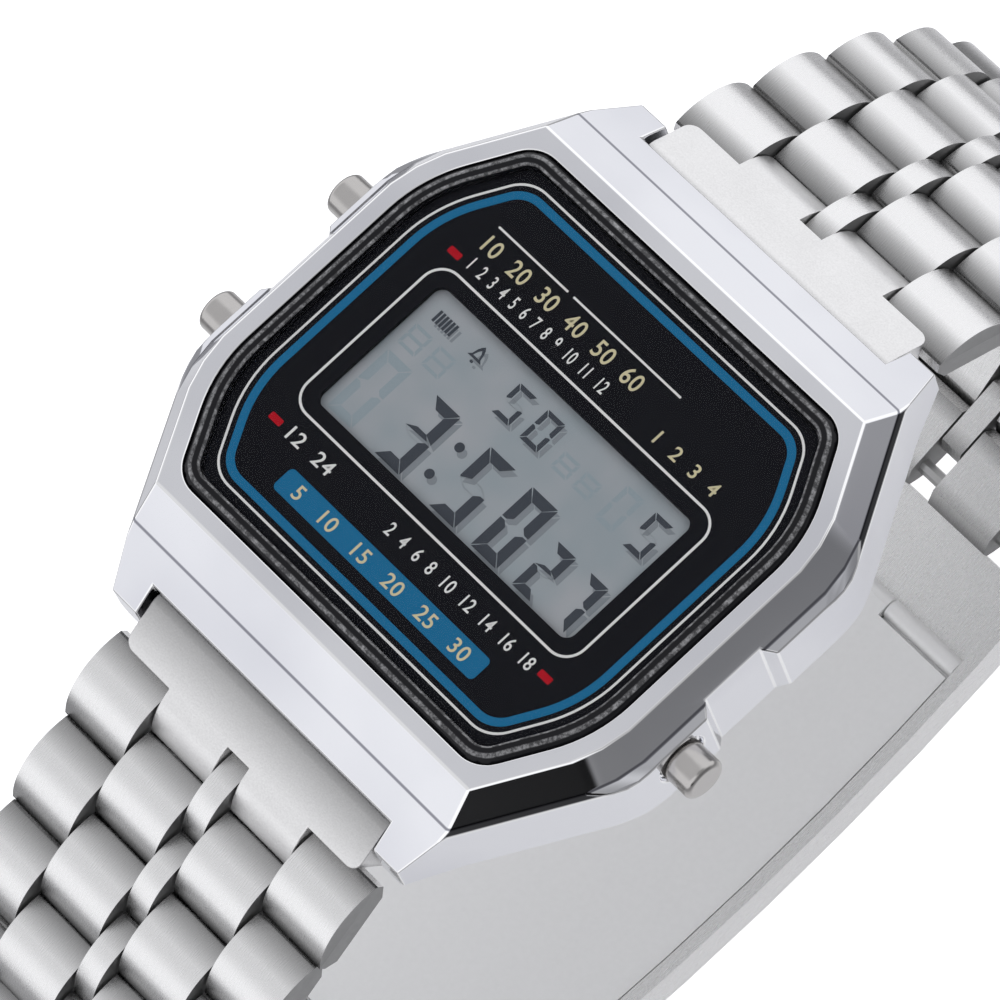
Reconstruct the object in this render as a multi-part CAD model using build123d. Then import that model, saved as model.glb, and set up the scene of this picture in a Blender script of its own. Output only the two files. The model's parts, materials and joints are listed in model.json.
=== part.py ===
"""Digital wristwatch with a chromed case and a five-across steel link bracelet.

Frame: origin at the centre of the case back's outer face, +Z out of the dial,
+Y towards 12 o'clock, +X towards 3 o'clock. Millimetres.
The bracelet is closed round the space for the wrist and the clasp is shut.
"""

from build123d import *
import math
import os

# Case, over all
case_width = 33.8
case_length = 36.8
case_height = 8.2
corner_angle = 30.2

# Case, top face, its outer bevel and the walls below it
rim_proud = 0.2
top_half_x = 15.35
top_half_y = 13.43
top_corner = 17.0
bevel_depth = 1.75
bevel_out_x = 1.0
bevel_out_y = 1.92
bevel_out_corner = 1.09
roof_run_x = 1.83
roof_run_y = 1.395
roof_run_corner = 0.5
top_round = 9.0
round_runs = 3
wall_corner = 18.3
belly_height = 1.8
belly_x = 15.9
belly_y = 17.9
belly_corner = 17.7
belly_out_x = 1.9
belly_out_y = 1.2
belly_out_corner = 1.2
recess_depth = 0.65
recess_half_y = 1.85
shoulder_start_y = 2.4
wall_round = 4.0

# Lugs and spring bars
lug_gap = 18.2
lug_tip_half_x = 10.95
lug_length = 2.8
lug_chamfer = 0.9
bar_from_tip = 1.2
bar_z = 2.4
bar_radius = 0.75
bar_tip_radius = 0.38
bar_tip_reach = 0.9
bar_end_gap = 0.15
bar_fit = 0.05
lug_hole_fit = 0.04
notch_radius = 2.1
notch_before_bar = 0.3

# Glass, rim and face plate
rim_half_x = 14.3
rim_half_y = 12.4
rim_corner = 15.95
rim_width = 0.85
rim_round = 2.0
rim_wide_round = 8.5
rim_chamfer = 0.3
seat_fit = 0.05
glass_thickness = 0.55
glass_proud = 0.15
glass_chamfer = 0.15
plate_thickness = 0.3
window_half_x = 9.5
window_half_y = 4.35
window_y = -0.4
window_round = 0.6
ledge_width = 1.9
ledge_thickness = 0.6

# Case back
back_thickness = 0.8
back_half_x = 15.2
back_half_y = 14.1
back_corner = 17.5
back_chamfer = 0.25
cavity_half_x = 13.4
cavity_half_y = 11.9
cavity_corner = 15.1
gasket_inset = 0.2
gasket_width = 0.5
gasket_height = 0.6
gasket_fit = 0.03
screw_x = 11.9
screw_y = 12.0
screw_radius = 0.4
screw_head_radius = 0.75
screw_head_height = 0.35
screw_head_recess = 0.1
screw_length = 2.1
screw_fit = 0.03

# Buttons
button_y = 4.45
button_height_share = 0.5244
button_radius = 1.22
button_length = 2.55
button_out = 1.75
button_chamfer = 0.2
button_travel = 0.7
button_fit = 0.06
button_ring_radius = 1.45
button_ring_depth = 0.45
button_well_depth = 2.35
stem_radius = 0.5
stem_inside = 0.3
clip_radius = 0.7
clip_thickness = 0.22
clip_play = 0.05
spring_wall = 0.3
seal_height = 0.3

# Module
module_fit = 0.2
module_top_gap = 0.1
board_height_share = 0.427
board_thickness = 0.8
frame_floor = 0.3
lcd_half_x = 11.3
lcd_half_y = 6.6
lcd_pane = 0.6
lcd_gap = 0.15
pocket_fit = 0.1
collar_wall = 0.8
guide_half_x = 10.6
guide_half_y = 5.0
guide_gap = 0.05
zebra_half_x = 10.3
zebra_width = 0.9
lamp_share = 0.35
lamp_length = 3.0
lamp_gap = 0.4
notch_half_y = 1.5
contact_thickness = 0.15
contact_half_y = 1.1
contact_height = 1.5
contact_gap = 0.03
battery_radius = 10.0
battery_share = 0.593
battery_x = -2.6
battery_contact_radius = 3.0
battery_contact_thickness = 0.15
strap_half_y = 4.0
strap_thickness = 0.25
strap_overhang = 0.3
strap_leg_half_y = 2.0
chip_x = 10.6
chip_y = 1.3
chip_radius = 2.1
chip_height = 1.1
quartz_x = 9.4
quartz_y = -4.5
quartz_radius = 0.9
quartz_length = 6.0
piezo_x = 5.0
piezo_y = 2.5
piezo_radius = 6.6
piezo_thickness = 0.25
piezo_spring_x = 9.6
piezo_spring_y = 5.9
piezo_spring_radius = 0.7

# Bracelet rows
pitch = 5.42
side_gap = 0.07
centre_half = 0.75
inner_half = 5.35
bracelet_half = 9.9
row_narrowing = 0.2
link_gap = 0.1
link_crest = 1.4
crest_runs = 4
link_edge = 0.35
link_bottom = 0.95
link_foot = 0.6
link_toe = 0.4
pin_radius = 0.45
pin_fit = 0.03
pin_reach = 1.8

# End links
end_half = 8.9
end_slope = 31.0
end_pin_along = 3.4
end_pin_above = 0.5
end_top = 1.7
end_near = 1.54
end_round = 0.8
end_bottom = 1.2
end_rise = 0.3
end_tab_round = 0.7

# Slope of each row below the dial's plane, in degrees, from the case to the clasp
top_row_angle = [31.0, 37.0, 48.0, 63.0, 83.0, 104.0, 125.0, 146.0, 165.0]
bottom_row_angle = [30.0, 31.0, 35.0, 49.0, 69.0, 90.0, 111.0, 132.0, 152.0, 170.0]

# Clasp, along its curve from the 12 o'clock strand and out from the wrist
clasp_curve = 80.0
clasp_runs = 8
clasp_end_gap = 1.5
cover_half = 9.4
cover_wall = 0.8
cover_low = -0.6
cover_inner = 1.2
cover_thickness = 0.8
cover_ear_radius = 0.8
cover_hole_depth = 0.5
clasp_side_gap = 0.2
blade_low = -0.25
blade_thickness = 0.6
middle_low = 0.4
middle_thickness = 0.55
fold_along = 7.0
fold_out = 0.4
knuckle_radius = 0.6
knuckle_half = 3.0
knuckle_gap = 0.1
cover_pin_from_end = 1.2
cover_pin_out = 0.75
cover_barrel_radius = 0.38
blade_ear_radius = 0.8
blade_ear_inset = 0.5
clasp_pin_radius = 0.3
clasp_pin_reach = 1.3

# Flats on small rounds: pins, then screws, springs and bars, then discs
pin_sides = 8
small_sides = 16
disc_sides = 32

# Overrun of every cut past the face it starts from
overrun = 1.0

bezel_top = case_height - rim_proud
shoulder_z = bezel_top - bevel_depth
glass_top = bezel_top + glass_proud
plate_top = glass_top - glass_thickness
seat_z = plate_top - plate_thickness
ledge_z = seat_z - ledge_thickness
wall_x = case_width / 2
bar_y = case_length / 2 - bar_from_tip
nx = math.cos(math.radians(corner_angle))
ny = math.sin(math.radians(corner_angle))


def outline(quarter):
    """Closed face from the corners of its +X +Y quarter."""
    upper = quarter + [(-x, y) for x, y in reversed(quarter)]
    lower = [(-x, -y) for x, y in upper]
    return make_face(Polyline(*(upper + lower), close=True))


def octagon(half_x, half_y, corner, inset=0):
    """Eight-sided face: half width, half height and distance of its slanted sides."""
    x, y, c = half_x - inset, half_y - inset, corner - inset
    return outline([(x, (c - x * nx) / ny), ((c - y * ny) / nx, y)])


def rounded(face, tight, wide):
    """Rounds an octagon's corners: tight beside 12 and 6 o'clock, wide beside 3 and 9."""
    face = fillet(face.vertices().sort_by(lambda corner: abs(corner.Y))[-4:], tight)
    return fillet(face.vertices().sort_by(lambda corner: abs(corner.X))[-4:], wide)


def swept(side, slanted, radius):
    """Turns and corners of a round, in flats, that touches a straight and a slanted side."""
    x = side - radius
    y = (slanted - radius - x * nx) / ny
    turns = [corner_angle * step / round_runs for step in range(round_runs + 1)]
    rays = [(math.cos(math.radians(turn)), math.sin(math.radians(turn))) for turn in turns]
    return turns, [(x + radius * across, y + radius * up) for across, up in rays]


def flat_distance(side, slanted, step):
    """Distance from the middle of the flat that touches such a round at one of its steps."""
    turns, places = swept(side, slanted, top_round)
    turn = math.radians(turns[step])
    return places[step][0] * math.cos(turn) + places[step][1] * math.sin(turn)


def cavity(inset=0):
    return octagon(cavity_half_x, cavity_half_y, cavity_corner, inset)


def rim(inset=0):
    return octagon(rim_half_x, rim_half_y, rim_corner, inset)


def prism(face, low, high):
    return extrude(Pos(0, 0, low) * face, amount=high - low)


def block(x0, x1, y0, y1, z0, z1):
    size = Box(abs(x1 - x0), abs(y1 - y0), abs(z1 - z0))
    return Pos((x0 + x1) / 2, (y0 + y1) / 2, (z0 + z1) / 2) * size


def bar(radius, x0, x1, y, z):
    """Cylinder along X between two places."""
    return Pos((x0 + x1) / 2, y, z) * Rot(0, 90, 0) * Cylinder(radius, abs(x1 - x0))


def slab(face, x0, x1):
    """Face drawn in Y and Z, carried along X."""
    return extrude(Plane.YZ.offset(min(x0, x1)) * face, amount=abs(x1 - x0))


def pin(sides, radius, x0, x1, y, z):
    """Small round along X, drawn with flats inside its radius."""
    return slab(Pos(y, z) * RegularPolygon(radius, sides), x0, x1)


def bore(sides, radius, x0, x1, y, z):
    """Hole for a small round along X, drawn with flats outside its radius."""
    return slab(Pos(y, z) * RegularPolygon(radius, sides, major_radius=False), x0, x1)


def stud(sides, x, y, radius, low, high):
    """Small round along Z, drawn with flats inside its radius."""
    return prism(Pos(x, y) * RegularPolygon(radius, sides), low, high)


def socket(sides, x, y, radius, low, high):
    """Hole for a small round along Z, drawn with flats outside its radius."""
    return prism(Pos(x, y) * RegularPolygon(radius, sides, major_radius=False), low, high)


def corners(arc, runs):
    """Places along an arc, for a face with straight runs."""
    places = [arc @ (step / runs) for step in range(runs + 1)]
    return [(place.X, place.Y) for place in places]


def polygon(*corners):
    return make_face(Polyline(*corners, close=True))


def write(name, *solids):
    shape = Compound(children=list(solids)) if len(solids) > 1 else solids[0]
    shape.label = name
    export_step(shape, os.path.join("parts", name + ".step"))


# Case shell
def side_form(belly, belly_out, shoulder, run, top):
    """Case cut across one direction: belly, wall, roof and bevel."""
    full = belly + belly_out
    roof_end = shoulder_z - (full - shoulder) / run
    half = [
        (belly, back_thickness),
        (full, back_thickness + belly_height),
        (full, roof_end),
        (shoulder, shoulder_z),
        (top, bezel_top),
    ]
    left = [(-x, z) for x, z in reversed(half)]
    return extrude(Plane.XZ * polygon(*(half + left)), amount=case_length, both=True)


def plan_form():
    recess_x = wall_x - recess_depth
    root_y = case_length / 2 - lug_length
    quarter = [
        (recess_x, recess_half_y),
        (wall_x, shoulder_start_y),
        *swept(wall_x, wall_corner, wall_round)[1],
        ((wall_corner - root_y * ny) / nx, root_y),
        (lug_tip_half_x, case_length / 2),
    ]
    return prism(outline(quarter), back_thickness, bezel_top)


def outer_form():
    across_x = side_form(belly_x, belly_out_x, top_half_x + bevel_out_x, roof_run_x, top_half_x)
    across_y = side_form(belly_y, belly_out_y, top_half_y + bevel_out_y, roof_run_y, top_half_y)
    shoulder = top_corner + bevel_out_corner
    slanted = side_form(belly_corner, belly_out_corner, shoulder, roof_run_corner, top_corner)
    form = plan_form() & across_x & (Rot(0, 0, 90) * across_y)
    form = form & (Rot(0, 0, corner_angle) * slanted) & (Rot(0, 0, -corner_angle) * slanted)
    for step in range(1, round_runs):
        belly = flat_distance(belly_x, belly_corner, step)
        full = flat_distance(belly_x + belly_out_x, belly_corner + belly_out_corner, step)
        shoulder = flat_distance(top_half_x + bevel_out_x, top_corner + bevel_out_corner, step)
        run = roof_run_x + (roof_run_corner - roof_run_x) * step / round_runs
        flat = side_form(belly, full - belly, shoulder, run, flat_distance(top_half_x, top_corner, step))
        turn = corner_angle * step / round_runs
        form = form & (Rot(0, 0, turn) * flat) & (Rot(0, 0, -turn) * flat)
    return form


def lug_cuts(side):
    half = lug_gap / 2
    tip = case_length / 2
    beyond = side * (tip + overrun)
    notch = bar(notch_radius, -half, half, side * bar_y, bar_z)
    notch_start = side * (bar_y - notch_before_bar)
    notch += block(-half, half, notch_start, beyond, -overrun, case_height)
    corner = polygon(
        (side * (tip - lug_chamfer - overrun), back_thickness - overrun),
        (beyond, back_thickness - overrun),
        (beyond, back_thickness + lug_chamfer + overrun),
    )
    reach = half + bar_tip_reach + bar_end_gap
    hole = bore(pin_sides, bar_tip_radius + lug_hole_fit, -reach, reach, side * bar_y, bar_z)
    return notch + slab(corner, -wall_x, wall_x) + hole


def button_bore(side, y):
    outside = side * (wall_x + overrun)
    stem = bore(pin_sides, stem_radius + button_fit, 0, outside, y, button_z)
    well = bar(button_radius + button_fit, side * (wall_x - button_well_depth), outside, y, button_z)
    ring = bar(button_ring_radius, side * (wall_x - button_ring_depth), outside, y, button_z)
    return stem + well + ring


button_places = {
    "light": (-1, button_y),
    "mode": (-1, -button_y),
    "start": (1, -button_y),
}
screw_places = [(sx * screw_x, sy * screw_y) for sx in (1, -1) for sy in (1, -1)]


def gasket_ring(extra):
    return cavity(-gasket_inset - gasket_width - extra) - cavity(-gasket_inset + extra)


def case_shell():
    shell = outer_form()
    shell -= prism(cavity(), back_thickness - overrun, ledge_z)
    shell -= prism(rim(ledge_width), back_thickness, case_height)
    shell -= prism(rounded(rim(-seat_fit), rim_round, rim_wide_round), seat_z, case_height)
    groove_top = back_thickness + gasket_height + gasket_fit
    shell -= prism(gasket_ring(gasket_fit), back_thickness - overrun, groove_top)
    for side in (1, -1):
        shell -= lug_cuts(side)
    for side, y in button_places.values():
        shell -= button_bore(side, y)
    screw_top = back_thickness + screw_length + screw_fit
    for x, y in screw_places:
        shell -= socket(pin_sides, x, y, screw_radius + screw_fit, back_thickness - overrun, screw_top)
    return shell


# Glass, rim and face plate
def glass_face(gap):
    return rounded(rim(rim_width + gap), rim_round - rim_width, rim_wide_round - rim_width)


def glass_rim():
    ring = prism(rounded(rim(), rim_round, rim_wide_round), seat_z, case_height)
    ring = chamfer(ring.faces().sort_by(Axis.Z)[-1].edges(), rim_chamfer)
    return ring - prism(glass_face(0), seat_z - overrun, case_height + overrun)


def glass():
    pane = prism(glass_face(seat_fit), plate_top, glass_top)
    return chamfer(pane.faces().sort_by(Axis.Z)[-1].edges(), glass_chamfer)


def face_plate():
    window = Pos(0, window_y) * RectangleRounded(2 * window_half_x, 2 * window_half_y, window_round)
    return prism(glass_face(seat_fit) - window, seat_z, plate_top)


# Case back with its gasket and screws
def case_back():
    plate = prism(octagon(back_half_x, back_half_y, back_corner), 0, back_thickness)
    plate = chamfer(plate.faces().sort_by(Axis.Z)[0].edges(), back_chamfer)
    head_top = screw_head_recess + screw_head_height
    for x, y in screw_places:
        plate -= socket(pin_sides, x, y, screw_radius + screw_fit, -overrun, back_thickness + overrun)
        plate -= socket(small_sides, x, y, screw_head_radius + screw_fit, -overrun, head_top)
    return plate


def back_screw(x, y):
    head_top = screw_head_recess + screw_head_height
    head = stud(small_sides, x, y, screw_head_radius, screw_head_recess, head_top)
    return head + stud(pin_sides, x, y, screw_radius, head_top, back_thickness + screw_length)


# Buttons: the cap slides in its well and the clip holds the stem from inside
button_z = case_height * button_height_share
cap_face = wall_x + button_out - button_length
well_floor = wall_x - button_well_depth
stem_tip = cavity_half_x - stem_inside


def ring(side, y, outer, x0, x1):
    """Ring round a button's stem."""
    place = (side * x0, side * x1, y, button_z)
    return pin(small_sides, outer, *place) - bore(pin_sides, stem_radius + button_fit, *place)


def stem_clip(side, y):
    """Fork that slides over the stem from below."""
    outer = cavity_half_x - clip_play
    low = button_z - clip_radius
    plate = polygon(
        (y - clip_radius, low),
        (y - stem_radius, low),
        (y - stem_radius, button_z + stem_radius),
        (y + stem_radius, button_z + stem_radius),
        (y + stem_radius, low),
        (y + clip_radius, low),
        (y + clip_radius, button_z + clip_radius),
        (y - clip_radius, button_z + clip_radius),
    )
    return slab(plate, side * (outer - clip_thickness), side * outer)


def button(side, y):
    cap = bar(button_radius, side * cap_face, side * (wall_x + button_out), y, button_z)
    end = cap.faces().sort_by(Axis.X)[-1 if side > 0 else 0]
    cap = chamfer(end.edges(), button_chamfer)
    stem = pin(pin_sides, stem_radius, side * stem_tip, side * cap_face, y, button_z)
    return cap + stem, stem_clip(side, y)


def button_seal(side, y):
    return ring(side, y, button_radius, well_floor, well_floor + seal_height)


def button_spring(side, y):
    outer = stem_radius + button_fit + spring_wall
    return ring(side, y, outer, well_floor + seal_height, cap_face)


# Module: frame, board and battery holder share one outline with notches at the buttons
board_z = case_height * board_height_share
board_top = board_z + board_thickness
lcd_top = seat_z - lcd_gap
lcd_split = lcd_top - lcd_pane
lcd_low = lcd_split - lcd_pane
guide_z = board_top + frame_floor
guide_top = lcd_low - guide_gap
contact_x = stem_tip - button_travel - contact_gap
battery_top = board_z - battery_contact_thickness
battery_low = battery_top - battery_share * (board_z - back_thickness)
zebra_offset = lcd_half_y - zebra_width / 2 - pocket_fit / 2
lamp_radius = lamp_share * (guide_top - guide_z)
lamp_x = -(guide_half_x + pocket_fit + lamp_gap + lamp_radius)
lamp_z = guide_z + lamp_radius


def stem_notches(solid, low, high):
    inner = contact_x - contact_thickness
    for side, y in button_places.values():
        far = side * (cavity_half_x + overrun)
        solid -= block(side * inner, far, y - notch_half_y, y + notch_half_y, low, high)
    return solid


def centred(half_x, half_y, low, high):
    return block(-half_x, half_x, window_y - half_y, window_y + half_y, low, high)


def zebra_strip(side, gap):
    y = window_y + side * zebra_offset
    half_x = zebra_half_x + gap
    half_y = zebra_width / 2 + gap
    return block(-half_x, half_x, y - half_y, y + half_y, board_top, lcd_split)


def lcd_panel():
    rear_half_y = zebra_offset - zebra_width / 2 - pocket_fit
    front = centred(lcd_half_x, lcd_half_y, lcd_split, lcd_top)
    return front, centred(lcd_half_x, rear_half_y, lcd_low, lcd_split)


def module_frame():
    frame = prism(cavity(module_fit), board_top, ledge_z - module_top_gap)
    wall = pocket_fit + collar_wall
    collar = centred(lcd_half_x + wall, lcd_half_y + wall, board_top, seat_z - lcd_gap / 2)
    frame += collar & prism(rim(ledge_width + module_top_gap), board_top, seat_z)
    frame -= centred(lcd_half_x + pocket_fit, lcd_half_y + pocket_fit, lcd_low, case_height)
    frame -= centred(guide_half_x + pocket_fit, guide_half_y + pocket_fit, guide_z, case_height)
    for side in (1, -1):
        frame -= zebra_strip(side, pocket_fit)
    half = lamp_length / 2 + pocket_fit
    wide = lamp_radius + pocket_fit
    frame -= block(lamp_x - wide, lamp_x + wide, window_y - half, window_y + half, guide_z, lcd_low)
    return stem_notches(frame, board_top - overrun, case_height)


def circuit_board():
    return stem_notches(prism(cavity(module_fit), board_z, board_top), board_z - overrun, board_top + overrun)


def lamp():
    half = lamp_length / 2
    face = Pos(lamp_x, lamp_z) * RegularPolygon(lamp_radius, pin_sides)
    return extrude(Plane.XZ.offset(-window_y - half) * face, amount=lamp_length)


def button_contact(side, y):
    low = button_z - contact_height / 2
    inner = side * (contact_x - contact_thickness)
    return block(inner, side * contact_x, y - contact_half_y, y + contact_half_y, low, low + contact_height)


def module_back():
    low = battery_low - overrun
    high = board_z + overrun
    holder = prism(cavity(module_fit), battery_low, board_z)
    holder -= socket(disc_sides, battery_x, 0, battery_radius + pocket_fit, low, high)
    holder -= socket(small_sides, chip_x, chip_y, chip_radius + pocket_fit, low, high)
    wide = quartz_radius + pocket_fit
    half = quartz_length / 2 + pocket_fit
    holder -= block(quartz_x - wide, quartz_x + wide, quartz_y - half, quartz_y + half, low, high)
    spring = piezo_spring_radius + pocket_fit
    holder -= socket(pin_sides, piezo_spring_x, piezo_spring_y, spring, low, high)
    leg = battery_x + battery_radius + strap_overhang
    reach = strap_leg_half_y + pocket_fit
    slot_start = leg - 2 * strap_overhang
    return holder - block(slot_start, leg + strap_thickness + pocket_fit, -reach, reach, low, high)


def battery_clip():
    right = battery_x + battery_radius + strap_overhang + strap_thickness
    left = pocket_fit + module_fit - cavity_half_x
    low = battery_low - strap_thickness
    strap = block(left, right, -strap_half_y, strap_half_y, low, battery_low)
    leg_half = strap_leg_half_y
    return strap + block(right - strap_thickness, right, -leg_half, leg_half, low, board_z)


def quartz_can():
    half = quartz_length / 2
    face = Pos(quartz_x, board_z - quartz_radius) * RegularPolygon(quartz_radius, small_sides)
    return extrude(Plane.XZ.offset(-quartz_y - half) * face, amount=quartz_length)


# Spring bars
def spring_bar(side):
    body = lug_gap / 2 - bar_end_gap
    tip = lug_gap / 2 + bar_tip_reach
    y = side * bar_y
    thin = pin(pin_sides, bar_tip_radius, -tip, tip, y, bar_z)
    return pin(small_sides, bar_radius, -body, body, y, bar_z) + thin


# Bracelet: in a row's own frame its hinge pin is the origin, Y runs to the next pin
# and Z out of the bracelet. The outer and centre links turn on the row's own pin and
# the inner links carry the next one.
link_end = pitch / 4 - link_gap / 2
strap_side = {"top": 1, "bottom": -1}


def link_face(place, toward):
    """A link's profile: round about its pin at one end, square at the other."""
    near = place - toward * link_end
    far = place + toward * (pitch / 2 + link_end)
    crest = ThreePointArc((near, link_edge), ((near + far) / 2, link_crest), (far, link_edge))
    return polygon(
        *corners(crest, crest_runs),
        (far, link_foot - link_bottom),
        (far - toward * link_toe, -link_bottom),
        (place - toward * link_foot, -link_bottom),
        (near, -link_edge),
    )


def pin_hole(side, start, along):
    stop = side * (start + pin_reach + side_gap)
    return bore(pin_sides, pin_radius + pin_fit, side * start, stop, along, 0)


def pin_stub(side, along, above):
    stop = side * (inner_half + pin_reach)
    return pin(pin_sides, pin_radius, side * (inner_half - pin_radius), stop, along, above)


def outer_link(side, row):
    start = inner_half + side_gap
    link = slab(link_face(0, 1), side * start, side * (bracelet_half - row_narrowing * row))
    return link - pin_hole(side, start, 0)


def inner_link(side, holds_bar):
    link = slab(link_face(pitch, -1), side * (centre_half + side_gap), side * inner_half)
    if holds_bar:
        return link - bore(pin_sides, pin_radius + pin_fit, 0, side * (inner_half + overrun), pitch, 0)
    return link + pin_stub(side, pitch, 0)


def link_row(row, holds_bar):
    outer = [outer_link(side, row) for side in (1, -1)]
    inner = [inner_link(side, holds_bar) for side in (1, -1)]
    return outer + inner + [slab(link_face(0, 1), -centre_half, centre_half)]


def pin_places(slopes):
    """Hinge pins from the end link on: distance from the dial's middle line, and height."""
    c = math.cos(math.radians(end_slope))
    s = math.sin(math.radians(end_slope))
    y = bar_y + end_pin_along * c + end_pin_above * s
    z = bar_z - end_pin_along * s + end_pin_above * c
    places = [(y, z)]
    for slope in slopes:
        y += pitch * math.cos(math.radians(slope))
        z -= pitch * math.sin(math.radians(slope))
        places.append((y, z))
    return places


def place_row(solid, y, z, slope, side):
    turned = Pos(0, y, z) * Rot(-slope, 0, 0) * solid
    return turned if side > 0 else Rot(0, 0, 180) * turned


# End links: a plate on the spring bar with two lobes that carry the first hinge pin
def end_link(side):
    edge = end_pin_along - link_end - link_gap
    corner = end_round * (1 - math.sqrt(0.5))
    round_top = ThreePointArc(
        (-end_near, end_top - end_round),
        (corner - end_near, end_top - corner),
        (end_round - end_near, end_top),
    )
    plate = Polyline(
        (end_round - end_near, end_top),
        (edge, end_top),
        (edge, -end_bottom / 2),
        (edge - link_toe, -end_bottom),
        (-end_bottom / 2, -end_bottom),
        (-end_near, -end_bottom / 2),
        (-end_near, end_top - end_round),
    )
    link = slab(make_face([round_top, *plate.edges()]), -end_half, end_half)
    tabs = link.edges().filter_by(Axis.Z).group_by(Axis.Y)[-1]
    link = fillet([tabs.sort_by(Axis.X)[0], tabs.sort_by(Axis.X)[-1]], end_tab_round)
    far = end_pin_along + link_end
    tip = end_pin_above + link_edge
    crest = ThreePointArc((edge, end_top), ((edge + far) / 2, (end_top + tip) / 2 + end_rise), (far, tip))
    lobe = polygon(
        *corners(crest, crest_runs),
        (far, end_pin_above - link_edge),
        (end_pin_along + link_foot, end_pin_above - link_bottom),
        (edge, -end_bottom / 2),
    )
    for hand in (1, -1):
        link += slab(lobe, hand * (centre_half + side_gap), hand * inner_half)
        link += pin_stub(hand, end_pin_along, end_pin_above)
    link -= bore(small_sides, bar_radius + bar_fit, -end_half - overrun, end_half + overrun, 0, 0)
    return place_row(link, bar_y, bar_z, end_slope, side)


# Clasp: its curve joins the last pin of one strand to the last pin of the other
clasp_start = pin_places(top_row_angle)[-1]
clasp_stop = (-pin_places(bottom_row_angle)[-1][0], pin_places(bottom_row_angle)[-1][1])
clasp_span = math.dist(clasp_start, clasp_stop)
half_turn = math.asin(clasp_span / 2 / clasp_curve)
clasp_length = 2 * half_turn * clasp_curve
along_y = (clasp_stop[0] - clasp_start[0]) / clasp_span
along_z = (clasp_stop[1] - clasp_start[1]) / clasp_span
centre_rise = clasp_curve * math.cos(half_turn)
centre_y = (clasp_start[0] + clasp_stop[0]) / 2 + along_z * centre_rise
centre_z = (clasp_start[1] + clasp_stop[1]) / 2 - along_y * centre_rise


def clasp_knot(step, out):
    """Place in Y and Z where two straight runs of the clasp meet."""
    turn = 2 * half_turn * step / clasp_runs - half_turn
    radius = clasp_curve + out
    y = centre_y + radius * (math.sin(turn) * along_y - math.cos(turn) * along_z)
    z = centre_z + radius * (math.sin(turn) * along_z + math.cos(turn) * along_y)
    return y, z


def on_clasp(along, out):
    """Place in Y and Z at a distance along the clasp and out from its curve."""
    steps = along / clasp_length * clasp_runs
    before = min(int(steps), clasp_runs - 1)
    share = steps - before
    y0, z0 = clasp_knot(before, out)
    y1, z1 = clasp_knot(before + 1, out)
    return y0 + share * (y1 - y0), z0 + share * (z1 - z0)


def strip(start, stop, low, high, x0, x1):
    """Plate between two places along the clasp and two distances out."""
    knots = [clasp_length * step / clasp_runs for step in range(clasp_runs)]
    places = [start, *[knot for knot in knots if start < knot < stop], stop]
    outer = [on_clasp(along, high) for along in places]
    inner = [on_clasp(along, low) for along in reversed(places)]
    return slab(polygon(*outer, *inner), x0, x1)


def rod(sides, radius, x0, x1, along, out):
    return pin(sides, radius, x0, x1, *on_clasp(along, out))


def rod_hole(x0, x1, along, out):
    return bore(pin_sides, clasp_pin_radius + pin_fit, x0, x1, *on_clasp(along, out))


cover_outer = cover_inner + cover_thickness
cover_end = clasp_length - clasp_end_gap
cover_pin = cover_end - cover_pin_from_end
cover_wall_x = cover_half - cover_wall
cover_pin_half = cover_wall_x + cover_hole_depth
blade_half = cover_wall_x - clasp_side_gap
blade_ear_half = blade_half - blade_ear_inset
plate_start = fold_along + knuckle_radius + knuckle_gap
arm_stop = plate_start + knuckle_radius
blade_high = blade_low + blade_thickness
middle_high = middle_low + middle_thickness


def clasp_cover():
    cover = strip(clasp_end_gap, cover_end, cover_inner, cover_outer, -cover_half, cover_half)
    for side in (1, -1):
        wall = (side * cover_wall_x, side * cover_half)
        cover += strip(0, cover_end, cover_low, cover_inner, *wall)
        cover += strip(clasp_end_gap, cover_end, cover_low, cover_outer, *wall)
        cover += rod(small_sides, cover_ear_radius, *wall, 0, 0)
        hole = (side * (cover_wall_x - overrun), side * (cover_pin_half + pin_fit))
        cover -= rod_hole(*hole, 0, 0)
        cover -= rod_hole(*hole, cover_pin, cover_pin_out)
    return cover


def clasp_blade_middle():
    blade = strip(plate_start, cover_pin, middle_low, middle_high, -blade_half, blade_half)
    place = (cover_pin, cover_pin_out)
    blade += rod(pin_sides, cover_barrel_radius, -blade_half, blade_half, *place)
    blade += rod(pin_sides, clasp_pin_radius, -cover_pin_half, cover_pin_half, *place)
    inner_face = knuckle_half + knuckle_gap
    hole_end = inner_face + clasp_pin_reach + pin_fit
    for side in (1, -1):
        arm = (side * inner_face, side * blade_half)
        blade += rod(small_sides, knuckle_radius, *arm, fold_along, fold_out)
        blade += strip(fold_along, arm_stop, middle_low, middle_high, *arm)
        blade -= rod_hole(side * knuckle_half, side * hole_end, fold_along, fold_out)
    return blade


def clasp_blade_inner():
    blade = strip(plate_start, cover_end, blade_low, blade_high, -blade_half, blade_half)
    blade += rod(small_sides, knuckle_radius, -knuckle_half, knuckle_half, fold_along, fold_out)
    blade += strip(fold_along, arm_stop, blade_low, blade_high, -knuckle_half, knuckle_half)
    pin_end = knuckle_half + knuckle_gap + clasp_pin_reach
    blade += rod(pin_sides, clasp_pin_radius, -pin_end, pin_end, fold_along, fold_out)
    start = inner_half + side_gap
    for side in (1, -1):
        ear = (side * start, side * blade_ear_half)
        blade += strip(cover_end - clasp_end_gap, clasp_length, blade_low, blade_high, *ear)
        blade += rod(small_sides, blade_ear_radius, *ear, clasp_length, 0)
        lane = (side * (start - overrun), side * (start + pin_reach + side_gap))
        blade -= bore(pin_sides, pin_radius + pin_fit, *lane, *on_clasp(clasp_length, 0))
    return blade


def clasp_bar():
    return rod(pin_sides, pin_radius, -blade_half, blade_half, 0, 0)


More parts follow.
